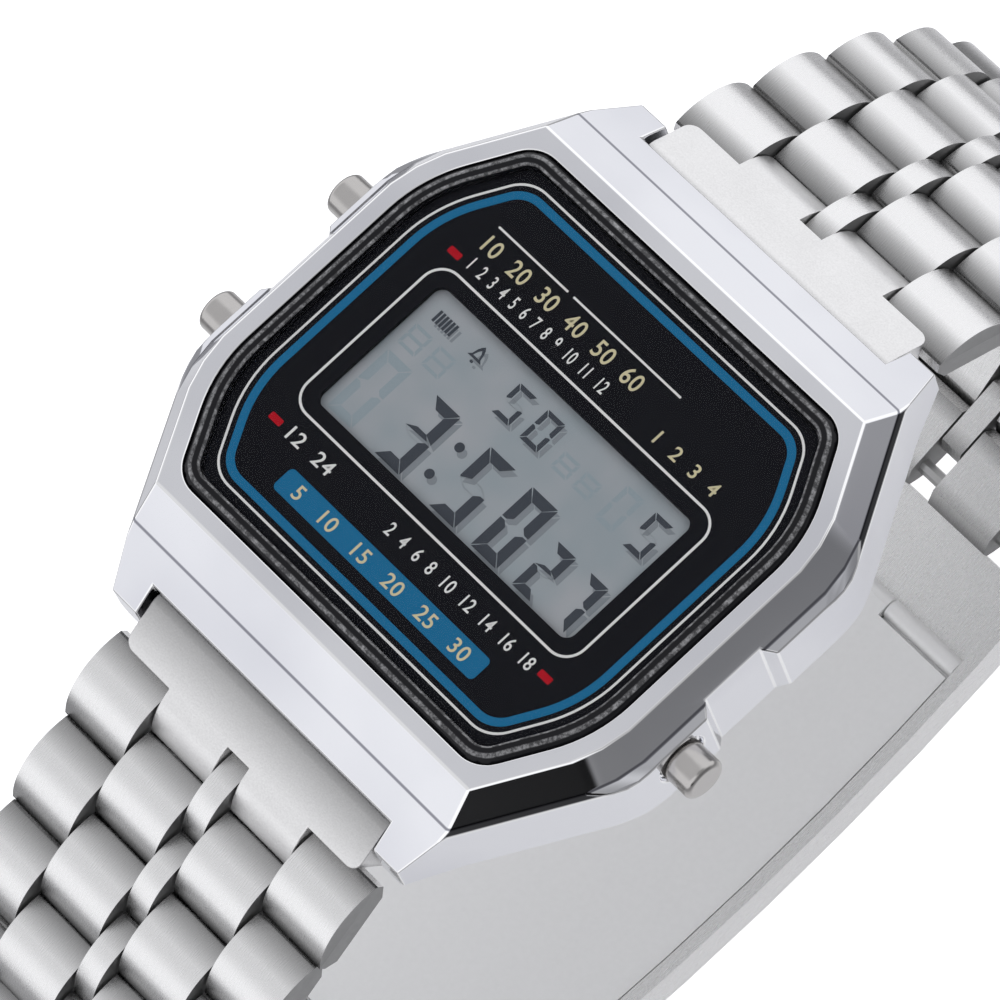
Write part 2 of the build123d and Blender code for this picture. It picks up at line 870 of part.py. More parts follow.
os.makedirs("parts", exist_ok=True)
write("case_shell", case_shell())
write("glass_rim", glass_rim())
write("glass", glass())
write("face_plate", face_plate())
write("case_back", case_back())
write("back_gasket", prism(gasket_ring(0), back_thickness, back_thickness + gasket_height))
write("back_screws", *[back_screw(x, y) for x, y in screw_places])

for name, place in button_places.items():
    write(name + "_button", *button(*place))
    write(name + "_spring", button_spring(*place))
write("button_seals", *[button_seal(*place) for place in button_places.values()])

write("lcd_panel", *lcd_panel())
write("light_guide", centred(guide_half_x, guide_half_y, guide_z, guide_top))
write("lamp", lamp())
write("zebra_strips", zebra_strip(1, 0), zebra_strip(-1, 0))
write("module_frame", module_frame())
write("circuit_board", circuit_board())
write("chip_cap", stud(small_sides, chip_x, chip_y, chip_radius, board_z - chip_height, board_z))
write("quartz_can", quartz_can())
write("button_contacts", *[button_contact(*place) for place in button_places.values()])
write("module_back", module_back())
write("battery", stud(disc_sides, battery_x, 0, battery_radius, battery_low, battery_top))
write("battery_contact", stud(small_sides, battery_x, 0, battery_contact_radius, battery_top, board_z))
write("battery_clip", battery_clip())
piezo_top = back_thickness + piezo_thickness
write("piezo_disc", stud(disc_sides, piezo_x, piezo_y, piezo_radius, back_thickness, piezo_top))
spring_place = (piezo_spring_x, piezo_spring_y)
write("piezo_spring", stud(pin_sides, *spring_place, piezo_spring_radius, piezo_top, board_z))

for name, side in strap_side.items():
    write("spring_bar_" + name, spring_bar(side))
    write("end_link_" + name, end_link(side))
    slopes = top_row_angle if side > 0 else bottom_row_angle
    for row, slope in enumerate(slopes):
        holds_bar = side > 0 and row == len(slopes) - 1
        y, z = pin_places(slopes)[row]
        links = [place_row(link, y, z, slope, side) for link in link_row(row, holds_bar)]
        write("links_" + name + "_" + str(row + 1), *links)

write("clasp_bar", clasp_bar())
write("clasp_cover", clasp_cover())
write("clasp_blade_middle", clasp_blade_middle())
write("clasp_blade_inner", clasp_blade_inner())
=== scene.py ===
import json
import math
import bpy
from mathutils import Matrix, Vector

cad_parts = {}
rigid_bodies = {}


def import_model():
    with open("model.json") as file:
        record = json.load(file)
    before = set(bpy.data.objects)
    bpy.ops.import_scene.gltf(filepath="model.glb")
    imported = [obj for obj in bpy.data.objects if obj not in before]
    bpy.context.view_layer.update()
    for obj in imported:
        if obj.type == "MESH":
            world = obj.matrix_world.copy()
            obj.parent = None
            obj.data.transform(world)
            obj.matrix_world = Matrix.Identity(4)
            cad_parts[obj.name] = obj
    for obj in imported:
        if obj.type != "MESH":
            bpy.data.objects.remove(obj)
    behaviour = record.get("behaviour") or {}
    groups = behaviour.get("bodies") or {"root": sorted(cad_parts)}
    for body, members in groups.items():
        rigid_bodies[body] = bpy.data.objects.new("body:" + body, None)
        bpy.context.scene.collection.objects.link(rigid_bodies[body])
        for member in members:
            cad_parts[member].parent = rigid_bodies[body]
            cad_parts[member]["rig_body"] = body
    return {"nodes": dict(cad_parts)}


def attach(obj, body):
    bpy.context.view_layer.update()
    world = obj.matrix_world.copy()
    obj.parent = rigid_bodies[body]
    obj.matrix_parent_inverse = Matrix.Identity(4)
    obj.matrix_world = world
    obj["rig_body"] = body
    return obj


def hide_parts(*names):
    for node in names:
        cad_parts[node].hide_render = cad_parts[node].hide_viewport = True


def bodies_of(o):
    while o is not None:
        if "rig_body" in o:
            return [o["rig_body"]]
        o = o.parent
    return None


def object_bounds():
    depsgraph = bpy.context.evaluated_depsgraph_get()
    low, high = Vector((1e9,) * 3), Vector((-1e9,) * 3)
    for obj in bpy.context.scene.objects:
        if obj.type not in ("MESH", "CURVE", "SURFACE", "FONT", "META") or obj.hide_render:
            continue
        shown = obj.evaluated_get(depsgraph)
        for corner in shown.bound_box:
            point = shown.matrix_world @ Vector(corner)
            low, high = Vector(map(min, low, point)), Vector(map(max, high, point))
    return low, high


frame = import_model()
cad_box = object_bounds()
mm = 0.001


# Modelling helpers
def let_go():
    if bpy.context.object and bpy.context.object.mode != "OBJECT":
        bpy.ops.object.mode_set(mode="OBJECT")
    bpy.ops.object.select_all(action="DESELECT")


def take(piece):
    let_go()
    piece.select_set(True)
    bpy.context.view_layer.objects.active = piece
    return piece


def named(name):
    piece = bpy.context.object
    piece.name = name
    piece.data.name = name
    return piece


def settle(piece):
    take(piece)
    bpy.ops.object.transform_apply(location=True, rotation=True, scale=True)
    return piece


def choose_nothing(piece, by_edges=False):
    """Takes a piece and deselects its mesh, so that vertices or edges can be chosen."""
    take(piece)
    bpy.context.tool_settings.mesh_select_mode = (not by_edges, by_edges, False)
    bpy.ops.object.mode_set(mode="EDIT")
    bpy.ops.mesh.select_all(action="DESELECT")
    bpy.ops.object.mode_set(mode="OBJECT")


def shift(piece, wanted, offset):
    """Moves the vertices whose place fits what is wanted."""
    choose_nothing(piece)
    for vertex in piece.data.vertices:
        vertex.select = wanted(vertex.co)
    bpy.ops.object.mode_set(mode="EDIT")
    bpy.ops.transform.translate(value=offset)
    bpy.ops.object.mode_set(mode="OBJECT")


def cut_away(piece, point, outward):
    """Cuts off what lies outward of a plane and closes the cut."""
    take(piece)
    bpy.ops.object.mode_set(mode="EDIT")
    bpy.ops.mesh.select_all(action="SELECT")
    bpy.ops.mesh.bisect(plane_co=point, plane_no=outward, use_fill=True, clear_outer=True)
    bpy.ops.object.mode_set(mode="OBJECT")


def soften(piece, width, segments=3, angle=25.0, smooth=35.0):
    """Rounds the edges sharper than an angle and shades the rest smooth."""
    take(piece)
    bevel = piece.modifiers.new("edges", "BEVEL")
    bevel.limit_method = "ANGLE"
    bevel.angle_limit = math.radians(angle)
    bevel.width = width * mm
    bevel.segments = segments
    bevel.harden_normals = False
    bevel.use_clamp_overlap = True
    bpy.ops.object.modifier_apply(modifier=bevel.name)
    return keep_flats(piece, smooth)


def keep_flats(piece, smooth):
    """Shades smooth below an angle, with the large flats left flat."""
    take(piece)
    bpy.ops.object.shade_smooth_by_angle(angle=math.radians(smooth))
    weigh = piece.modifiers.new("flats", "WEIGHTED_NORMAL")
    weigh.weight = 80
    weigh.keep_sharp = True
    bpy.ops.object.modifier_apply(modifier=weigh.name)
    return piece


def edges_like(piece, wanted):
    """Pairs of vertex numbers of the edges whose two faces and length fit what is wanted."""
    beside = {}
    for face in piece.data.polygons:
        for key in face.edge_keys:
            beside.setdefault(key, []).append(face.normal)
    fitting = []
    for key, normals in beside.items():
        a, b = (piece.data.vertices[v].co for v in key)
        if len(normals) == 2 and wanted(normals[0], normals[1], (a - b).length / mm):
            fitting.append(key)
    return fitting


def lines_like(piece, wanted):
    """Places of both ends of the edges that fit what is wanted."""
    return [[piece.data.vertices[v].co.copy() for v in key] for key in edges_like(piece, wanted)]


def round_edges(piece, wanted, width, segments):
    """Rounds the edges that fit what is wanted and gives the numbers of the new vertices."""
    choose_nothing(piece, by_edges=True)
    fitting = set(edges_like(piece, wanted))
    for edge in piece.data.edges:
        edge.select = edge.key in fitting
    bpy.ops.object.mode_set(mode="EDIT")
    bpy.ops.mesh.bevel(offset=width * mm, segments=segments, affect="EDGES", clamp_overlap=False)
    bpy.ops.object.mode_set(mode="OBJECT")
    bpy.context.tool_settings.mesh_select_mode = (True, False, False)
    return {v for face in piece.data.polygons if face.select for v in face.vertices}


def beside_line(point, lines, reach):
    for a, b in lines:
        along = b - a
        share = max(0, min(1, (point - a).dot(along) / along.length_squared))
        if (point - a - along * share).length < reach * mm:
            return True
    return False


def mark(piece, name, numbers):
    """Stores a value of one at the given vertices and zero elsewhere."""
    values = [float(vertex.index in numbers) for vertex in piece.data.vertices]
    piece.data.attributes.new(name, "FLOAT", "POINT").data.foreach_set("value", values)


def joined(name, pieces):
    let_go()
    for piece in pieces:
        piece.select_set(True)
    bpy.context.view_layer.objects.active = pieces[0]
    bpy.ops.object.join()
    return named(name)


def copy_of(piece, name):
    twin = piece.copy()
    twin.data = piece.data.copy()
    twin.name = name
    twin.data.name = name
    bpy.context.scene.collection.objects.link(twin)
    return twin


def cast_from(node, name, angle=1.0):
    """A merged copy of a CAD node with its flat faces made whole again."""
    let_go()
    piece = copy_of(frame["nodes"][node], name)
    piece.parent = None
    piece.matrix_world = Matrix.Identity(4)
    for key in list(piece.keys()):
        if key.startswith("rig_"):
            del piece[key]
    take(piece)
    bpy.ops.object.mode_set(mode="EDIT")
    bpy.ops.mesh.select_all(action="SELECT")
    bpy.ops.mesh.remove_doubles(threshold=0.002 * mm)
    bpy.ops.mesh.dissolve_limited(angle_limit=math.radians(angle))
    bpy.ops.mesh.normals_make_consistent(inside=False)
    bpy.ops.object.mode_set(mode="OBJECT")
    return piece


def body_of(node):
    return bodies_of(frame["nodes"][node])[0]


def dress(piece, material):
    piece.data.materials.clear()
    piece.data.materials.append(material)


def stand_in(piece, material, node):
    """The piece takes the node's place and rides with it; with no material it keeps its own."""
    if material:
        dress(piece, material)
    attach(piece, body_of(node))
    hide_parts(node)
    return piece


# Materials
def finish(name, colour, metallic, roughness):
    material = bpy.data.materials.new(name)
    material.use_nodes = True
    shader = material.node_tree.nodes["Principled BSDF"]
    shader.inputs["Base Color"].default_value = (*colour, 1)
    shader.inputs["Metallic"].default_value = metallic
    shader.inputs["Roughness"].default_value = roughness
    return material, material.node_tree, shader


def place(tree, kind, scale):
    """Object or UV coordinates times a scale."""
    coordinate = tree.nodes.new("ShaderNodeTexCoord")
    mapping = tree.nodes.new("ShaderNodeMapping")
    mapping.inputs["Scale"].default_value = scale
    tree.links.new(coordinate.outputs[kind], mapping.inputs["Vector"])
    return mapping.outputs["Vector"]


def in_mm(tree):
    """Place in the object, in millimetres."""
    return place(tree, "Object", (1000, 1000, 1000))


def only_y(tree, vector):
    apart = tree.nodes.new("ShaderNodeSeparateXYZ")
    tree.links.new(vector, apart.inputs["Vector"])
    return apart.outputs["Y"]


def grain(tree, vector, scale, detail=3.0, roughness=0.6):
    noise = tree.nodes.new("ShaderNodeTexNoise")
    noise.inputs["Scale"].default_value = scale
    noise.inputs["Detail"].default_value = detail
    noise.inputs["Roughness"].default_value = roughness
    tree.links.new(vector, noise.inputs["Vector"])
    return noise.outputs["Fac"]


def spread(tree, value, low, high, start=0.0, stop=1.0):
    """Maps a value from start..stop to low..high."""
    node = tree.nodes.new("ShaderNodeMapRange")
    node.inputs["From Min"].default_value = start
    node.inputs["From Max"].default_value = stop
    node.inputs["To Min"].default_value = low
    node.inputs["To Max"].default_value = high
    tree.links.new(value, node.inputs["Value"])
    return node.outputs["Result"]


def worked_out(tree, operation, first, second=None):
    node = tree.nodes.new("ShaderNodeMath")
    node.operation = operation
    tree.links.new(first, node.inputs[0])
    if second:
        tree.links.new(second, node.inputs[1])
    return node.outputs["Value"]


def stored(tree, name):
    node = tree.nodes.new("ShaderNodeAttribute")
    node.attribute_name = name
    return node.outputs["Fac"]


def blend_colours(tree, value, first, second):
    node = tree.nodes.new("ShaderNodeMix")
    node.data_type = "RGBA"
    node.inputs["A"].default_value = (*first, 1)
    node.inputs["B"].default_value = (*second, 1)
    tree.links.new(value, node.inputs["Factor"])
    return node.outputs["Result"]


def changed(tree, colour, share, tone, kind="MULTIPLY"):
    """Changes a colour by a tone, as far as a share from zero to one says."""
    node = tree.nodes.new("ShaderNodeMix")
    node.data_type = "RGBA"
    node.blend_type = kind
    node.inputs["B"].default_value = (*tone, 1)
    tree.links.new(colour, node.inputs["A"])
    tree.links.new(share, node.inputs["Factor"])
    return node.outputs["Result"]


def steel_tones(tree, fine, tone, low, high):
    """Grey with a little warmth between two shares of a tone."""
    darker, paler = ((tone * share, tone * (share - 0.005), tone * (share - 0.01)) for share in (low, high))
    return blend_colours(tree, spread(tree, fine, 0, 1, 0.3, 0.7), darker, paler)


def relief(tree, shader, value, distance):
    bump = tree.nodes.new("ShaderNodeBump")
    bump.inputs["Strength"].default_value = 1.0
    bump.inputs["Distance"].default_value = distance * mm
    tree.links.new(value, bump.inputs["Height"])
    tree.links.new(bump.outputs["Normal"], shader.inputs["Normal"])


def chrome(name, part=1.0):
    """Polished chrome with soft tone changes, a painted highlight along its marked edges and painted shade in
    its marked creases.
    """
    material, tree, shader = finish(name, (0.80, 0.80, 0.83), 1.0, 0.05)
    clouds = grain(tree, in_mm(tree), 0.09, 3.0, 0.4)
    tree.links.new(spread(tree, clouds, 0.03, 0.08), shader.inputs["Roughness"])
    low = (0.68 * part, 0.685 * part, 0.725 * part)
    high = (0.80 * part, 0.805 * part, 0.835 * part)
    colour = blend_colours(tree, spread(tree, clouds, 0, 1, 0.35, 0.65), low, high)
    # Painted shade: the crease strips are darkened, standing in for the dark reflection in the fold.
    colour = changed(tree, colour, stored(tree, "crease"), (0.34, 0.34, 0.37))
    # Painted highlight: the edge strips are mixed towards white.
    colour = changed(tree, colour, stored(tree, "edge"), (1.0, 1.0, 1.0), "MIX")
    tree.links.new(colour, shader.inputs["Base Color"])
    return material


def brushed_steel(name, tone, depth, ends=None):
    """Steel with fine scratches along the second UV direction, darkened by painted shade towards a link's
    ends.
    """
    material, tree, shader = finish(name, (tone, tone, tone), 1.0, 0.3)
    lines = grain(tree, place(tree, "UV", (22, 1.4, 1)), 1.0, 6.0, 0.7)
    fine = grain(tree, place(tree, "UV", (70, 4.2, 1)), 1.0, 4.0, 0.7)
    tree.links.new(spread(tree, lines, 0.22, 0.34, 0.3, 0.7), shader.inputs["Roughness"])
    colour = steel_tones(tree, fine, tone, 0.93, 1.05)
    if ends:
        # Painted shade: darker towards both ends of a link, starting at this distance from its middle.
        far = worked_out(tree, "ABSOLUTE", only_y(tree, place(tree, "UV", (1, 1, 1))))
        colour = changed(tree, colour, spread(tree, far, 0, 1, ends, ends + 1.5), (0.28, 0.28, 0.28))
    tree.links.new(colour, shader.inputs["Base Color"])
    relief(tree, shader, fine, depth)
    return material


def blasted_steel(name, tone):
    """Fine matt steel with painted shade that darkens it towards the case on the 6 o'clock side."""
    material, tree, shader = finish(name, (tone, tone, tone), 1.0, 0.4)
    fine = grain(tree, in_mm(tree), 9.0, 3.0)
    clouds = grain(tree, in_mm(tree), 0.35, 3.0)
    tree.links.new(spread(tree, clouds, 0.33, 0.46, 0.3, 0.7), shader.inputs["Roughness"])
    # Painted shade: darker towards the case on the lower end link.
    y = only_y(tree, in_mm(tree))
    towards_case, lower_side = spread(tree, y, 0, 1, -19.6, -16.2), spread(tree, y, 1, 0, -1.0, 1.0)
    painted_shade_near_case = worked_out(tree, "MULTIPLY", towards_case, lower_side)
    colour = changed(tree, steel_tones(tree, fine, tone, 0.93, 1.04), painted_shade_near_case, (0.27, 0.27, 0.27))
    tree.links.new(colour, shader.inputs["Base Color"])
    relief(tree, shader, fine, 0.012)
    return material


def satin_steel(name, tone, rough=0.28, metal=1.0, warm=0.0):
    material, tree, shader = finish(name, (tone, tone * 0.99, tone * 0.98), metal, rough)
    fine = grain(tree, in_mm(tree), 3.0, 4.0)
    tree.links.new(spread(tree, fine, rough * 0.8, rough * 1.25), shader.inputs["Roughness"])
    high = (tone, tone * (1 - warm), tone * (1 - 2 * warm))
    low = tuple(c * 0.93 for c in high)
    tree.links.new(blend_colours(tree, fine, low, high), shader.inputs["Base Color"])
    relief(tree, shader, fine, 0.004)
    return material


def scuffed_highlit_rim():
    """Black gloss whose rounded edge has fine bright scuffs and a faint painted highlight line."""
    material, tree, shader = finish("rim_black_gloss", (0.012, 0.012, 0.014), 0.0, 0.25)
    shader.inputs["Specular IOR Level"].default_value = 0.16
    spots = grain(tree, in_mm(tree), 3.0, 6.0, 0.8)
    # Bright scuffs along the marked edge, with a faint painted highlight line where the spots are low.
    scuffs = worked_out(tree, "MULTIPLY", spread(tree, spots, 0.12, 1, 0.44, 0.72), stored(tree, "edge"))
    colour = blend_colours(tree, scuffs, (0.010, 0.010, 0.012), (0.50, 0.50, 0.51))
    tree.links.new(colour, shader.inputs["Base Color"])
    tree.links.new(spread(tree, spots, 0.2, 0.4), shader.inputs["Roughness"])
    return material


def ink(name, colour, rough=0.5, gloss=0.5):
    material, tree, shader = finish(name, colour, 0.0, rough)
    shader.inputs["Specular IOR Level"].default_value = gloss
    fine = grain(tree, in_mm(tree), 6.0, 3.0)
    low = tuple(c * 0.9 for c in colour)
    tree.links.new(blend_colours(tree, fine, low, colour), shader.inputs["Base Color"])
    tree.links.new(spread(tree, fine, rough * 0.85, rough * 1.2), shader.inputs["Roughness"])
    return material


def clear_glass():
    """Clear pane with a faint mirror image that grows towards grazing views."""
    material = bpy.data.materials.new("clear_glass")
    material.use_nodes = True
    tree = material.node_tree
    tree.nodes.clear()
    out = tree.nodes.new("ShaderNodeOutputMaterial")
    mix = tree.nodes.new("ShaderNodeMixShader")
    through = tree.nodes.new("ShaderNodeBsdfTransparent")
    gloss = tree.nodes.new("ShaderNodeBsdfGlossy")
    fresnel = tree.nodes.new("ShaderNodeFresnel")
    gloss.inputs["Roughness"].default_value = 0.02
    fresnel.inputs["IOR"].default_value = 1.12
    tree.links.new(fresnel.outputs["Fac"], mix.inputs["Fac"])
    tree.links.new(through.outputs["BSDF"], mix.inputs[1])
    tree.links.new(gloss.outputs["BSDF"], mix.inputs[2])
    tree.links.new(mix.outputs["Shader"], out.inputs["Surface"])
    return material


def lcd_ground():
    """Grey reflecting ground of the display with a soft cloudy sheen."""
    material, tree, shader = finish("lcd_ground", (0.34, 0.37, 0.40), 0.0, 0.45)
    clouds = spread(tree, grain(tree, in_mm(tree), 0.22, 2.0), 0, 1, 0.35, 0.65)
    colour = blend_colours(tree, clouds, (0.37, 0.42, 0.45), (0.455, 0.475, 0.50))
    tree.links.new(colour, shader.inputs["Base Color"])
    shader.inputs["Specular IOR Level"].default_value = 0.1
    return material


CHROME = chrome("chromed_case")
# Nearly black copy of the chrome, used as painted shade on the slanting corner faces.
CHROME_PAINTED_SHADE = chrome("chromed_case_painted_shade", 0.12)
LINK_STEEL = brushed_steel("link_steel_brushed", 0.88, 0.006, 1.1)
# Dark steel for link sides: painted shade where the sides face into the gaps.
LINK_SIDE_PAINTED_SHADE = satin_steel("link_side_painted_shade", 0.34, 0.5)
END_STEEL = blasted_steel("end_link_blasted", 0.86)
BUTTON_STEEL = satin_steel("button_satin", 0.54, 0.2, 1.0, 0.03)
CLASP_STEEL = brushed_steel("clasp_steel_brushed", 0.94, 0.005)
BLADE_STEEL = satin_steel("blade_satin", 0.96, 0.5, 0.5)
BACK_STEEL = satin_steel("back_satin", 0.66, 0.3)
PIN_STEEL = satin_steel("pin_steel", 0.55, 0.3)
RIM = scuffed_highlit_rim()
GLASS = clear_glass()
PLATE = ink("face_plate_black", (0.008, 0.0085, 0.012), gloss=0.04)
WHITE_INK = ink("white_ink", (0.97, 0.97, 0.95), gloss=0.1)
GOLD_INK = ink("pale_gold_ink", (0.80, 0.73, 0.47), gloss=0.1)
BLUE_INK = ink("blue_ink", (0.016, 0.19, 0.39), gloss=0.06)
RED_INK = ink("red_ink", (0.56, 0.008, 0.02), gloss=0.06)
LCD = lcd_ground()
SEGMENT = ink("lcd_segment", (0.068, 0.078, 0.096), gloss=0.1)
# Paler grey for the painted shadow that the figures cast on the display ground.
SEGMENT_PAINTED_SHADOW = ink("lcd_segment_painted_shadow", (0.29, 0.32, 0.345), gloss=0.1)
GHOST = ink("lcd_ghost_segment", (0.36, 0.43, 0.47), gloss=0.1)
PLASTIC = ink("module_plastic", (0.10, 0.10, 0.11))
RUBBER = ink("gasket_rubber", (0.02, 0.02, 0.02), 0.7)
BOARD = ink("board_green", (0.02, 0.12, 0.05))
BRASS = satin_steel("brass", 0.6, 0.3)

# Bracelet, with the pins where the solids have them
pitch = 5.42
link_end = pitch / 4 - 0.05
link_edge = 0.35
link_crest = 1.4
crest_runs = 4
crest_sides = 160
link_bottom = 0.95
link_foot = 0.6
link_toe = 0.4
row_narrowing = 0.2
inside_outer_link = 7
bar_y = 17.2
bar_z = 2.4
end_slope = 31.0
pin_along = 3.4
pin_above = 0.5
ROW_ANGLES = {
    "top": [31.0, 37.0, 48.0, 63.0, 83.0, 104.0, 125.0, 146.0, 165.0],
    "bottom": [30.0, 31.0, 35.0, 49.0, 69.0, 90.0, 111.0, 132.0, 152.0, 170.0],
}
# Name, both sides in x, the hinge in y and the way from it to the link's other end
LINKS = (
    ("centre_link", -0.73, 0.73, 0, 1),
    ("inner_link", 0.86, 5.31, pitch, -1),
    ("inner_link_other", -5.31, -0.86, pitch, -1),
    ("outer_link", 5.46, 9.9, 0, 1),
    ("outer_link_other", -9.9, -5.46, 0, 1),
)


def lay_brushing(piece, middle=0.0):
    """UVs in millimetres, so that the brushing runs along the bracelet from a link's middle."""
    layer = piece.data.uv_layers.new(name="brushing")
    for face in piece.data.polygons:
        across = abs(face.normal.x) > 0.7
        end = abs(face.normal.y) > 0.7
        for corner in face.loop_indices:
            spot = piece.data.vertices[piece.data.loops[corner].vertex_index].co / mm
            if across:
                layer.data[corner].uv = (spot.z, spot.y - middle)
            elif end:
                layer.data[corner].uv = (spot.x, spot.z)
            else:
                layer.data[corner].uv = (spot.x, spot.y - middle)


def model_link(name, x0, x1, hinge, toward):
    """One link in its row's own frame: a round bar within the solid's crest, cut to the outline."""
    near = hinge - toward * link_end
    far = hinge + toward * (pitch / 2 + link_end)
    half = abs(far - near) / 2
    rise = link_crest - link_edge
    arc = (half * half + rise * rise) / (2 * rise)
    radius = arc * math.cos(math.asin(half / arc) / crest_runs)
    middle = (near + far) / 2
    let_go()
    bpy.ops.mesh.primitive_cylinder_add(
        vertices=crest_sides, radius=radius * mm, depth=(x1 - x0) * mm, rotation=(0, math.pi / 2, 0),
        calc_uvs=False, location=((x0 + x1) / 2 * mm, middle * mm, (link_crest - arc) * mm))
    link = settle(named(name))
    cut_away(link, (0, near * mm, 0), (0, -toward, 0))
    cut_away(link, (0, far * mm, 0), (0, toward, 0))
    cut_away(link, (0, 0, -link_bottom * mm), (0, 0, -1))
    drop = link_bottom - link_edge
    run = link_end - link_foot
    cut_away(link, (0, near * mm, -link_edge * mm), (0, -toward * drop, -run))
    cut_away(link, (0, far * mm, (link_foot - link_bottom) * mm), (0, toward * link_foot, -link_toe))
    soften(link, 0.2, 3, 28.0, 50.0)
    lay_brushing(link, middle)
    link.data.materials.append(LINK_STEEL)
    link.data.materials.append(LINK_SIDE_PAINTED_SHADE)
    # Painted shade: the side faces of a link take the dark steel.
    for face in link.data.polygons:
        face.material_index = 1 if abs(face.normal.x) > 0.9 else 0
    return link


def pin_places(name):
    c, s = math.cos(math.radians(end_slope)), math.sin(math.radians(end_slope))
    y = bar_y + pin_along * c + pin_above * s
    z = bar_z - pin_along * s + pin_above * c
    places = [(y, z)]
    for slope in ROW_ANGLES[name]:
        y += pitch * math.cos(math.radians(slope))
        z -= pitch * math.sin(math.radians(slope))
        places.append((y, z))
    return places


def row_of_links(samples, name, row, slope, y, z):
    """Copies of the five links at their pin; the outer ones narrow from row to row."""
    parts = [copy_of(sample, "part") for sample in samples]
    for part, side in zip(parts[-2:], (1, -1)):
        if row:
            inwards = (-side * row_narrowing * row * mm, 0, 0)
            shift(part, lambda spot: spot.x * side > inside_outer_link * mm, inwards)
    piece = joined("row_" + name + "_" + str(row + 1), parts)
    turn = Matrix.Translation((0, y * mm, z * mm)) @ Matrix.Rotation(math.radians(-slope), 4, "X")
    if name == "bottom":
        turn = Matrix.Rotation(math.pi, 4, "Z") @ turn
    piece.data.transform(turn)
    return stand_in(piece, None, "links_" + name + "_" + str(row + 1))


link_samples = [model_link(*link) for link in LINKS]
for strand, slopes in ROW_ANGLES.items():
    places = pin_places(strand)
    for row, slope in enumerate(slopes):
        row_of_links(link_samples, strand, row, slope, *places[row])
let_go()
for sample in link_samples:
    bpy.data.objects.remove(sample)

for strand in ROW_ANGLES:
    end = cast_from("end_link_" + strand, "end_piece_" + strand)
    soften(end, 0.18, 3, 28.0, 40.0)
    stand_in(end, END_STEEL, "end_link_" + strand)


# Case
def angle_between(first, second):
    return math.degrees(first.angle(second, 0))


def is_crease(first, second, length):
    """Long shallow folds between the sloping faces of the bezel."""
    leaning = min(first.z, second.z) > 0.3 and max(first.z, second.z) < 0.95
    shallow = 4 < angle_between(first, second) < 40 and abs(first.z - second.z) > 0.03
    return leaning and shallow and length > 1.5


def is_sharp(first, second, length):
    return is_crease(first, second, length) or angle_between(first, second) > 17


def is_outer_edge(first, second, length):
    """Upper outer edges of the rim."""
    upper = max(first.z, second.z) > 0.9 and min(first.z, second.z) > -0.1
    return upper and angle_between(first, second) > 25


shell = cast_from("case_shell", "chromed_shell")
creases, sharp = lines_like(shell, is_crease), lines_like(shell, is_sharp)
rounds = round_edges(shell, is_sharp, 0.12, 3)
rounds -= {v for face in shell.data.polygons if face.area > 3 * mm * mm for v in face.vertices}
# Vertices of the rounded creases, which get painted shade.
creased = {v for v in rounds if beside_line(shell.data.vertices[v].co, creases, 0.09)}
mark(shell, "crease", creased)
# Vertices of the other rounded sharp edges, which get a painted highlight.
mark(shell, "edge", {v for v in rounds - creased if beside_line(shell.data.vertices[v].co, sharp, 0.08)})
keep_flats(shell, 50.0)
stand_in(shell, CHROME, "case_shell")
shell.data.materials.append(CHROME_PAINTED_SHADE)
# Painted shade: the slanting corner faces take the dark chrome copy in place of a dark reflection.
for face in shell.data.polygons:
    if 0.25 < face.normal.z < 0.49 and abs(face.normal.x) > 0.3 and abs(face.normal.y) > 0.2:
        face.material_index = 1

rim = cast_from("glass_rim", "black_rim")
outer = lines_like(rim, is_outer_edge)
worn_and_highlit = round_edges(rim, is_outer_edge, 0.16, 4)
# The rounded outer edge is marked for scuffs and a painted highlight.
mark(rim, "edge", {v for v in worn_and_highlit if beside_line(rim.data.vertices[v].co, outer, 0.14)})
keep_flats(rim, 50.0)
stand_in(rim, RIM, "glass_rim")

for name in ("light", "mode", "start"):
    cap = cast_from(name + "_button", name + "_button_cap")
    soften(cap, 0.1, 3, 35.0, 40.0)
    stand_in(cap, BUTTON_STEEL, name + "_button")

back = cast_from("case_back", "back_cover")
soften(back, 0.06, 2, 30.0, 30.0)
stand_in(back, BACK_STEEL, "case_back")

# Clasp
for node, material, slot in (
        ("clasp_cover", CLASP_STEEL, "clasp_steel"), ("clasp_blade_middle", BLADE_STEEL, "blade_steel"),
        ("clasp_blade_inner", BLADE_STEEL, "blade_steel")):
    part = cast_from(node, node + "_piece")
    soften(part, 0.1, 2, 30.0, 30.0)
    lay_brushing(part)
    stand_in(part, material, node)


# Print on the face plate and segments of the display
def box(x0, x1, y0, y1):
    return [(x0, y0), (x1, y0), (x1, y1), (x0, y1)]


def rounded(half_x, half_y, radius, centre=(0, 0), steps=8):
    corners = []
    for quarter, (sx, sy) in enumerate(((1, 1), (-1, 1), (-1, -1), (1, -1))):
        cx = centre[0] + sx * (half_x - radius)
        cy = centre[1] + sy * (half_y - radius)
        for step in range(steps + 1):
            turn = math.pi / 2 * (quarter + step / steps)
            corners.append((cx + radius * math.cos(turn), cy + radius * math.sin(turn)))
    return corners


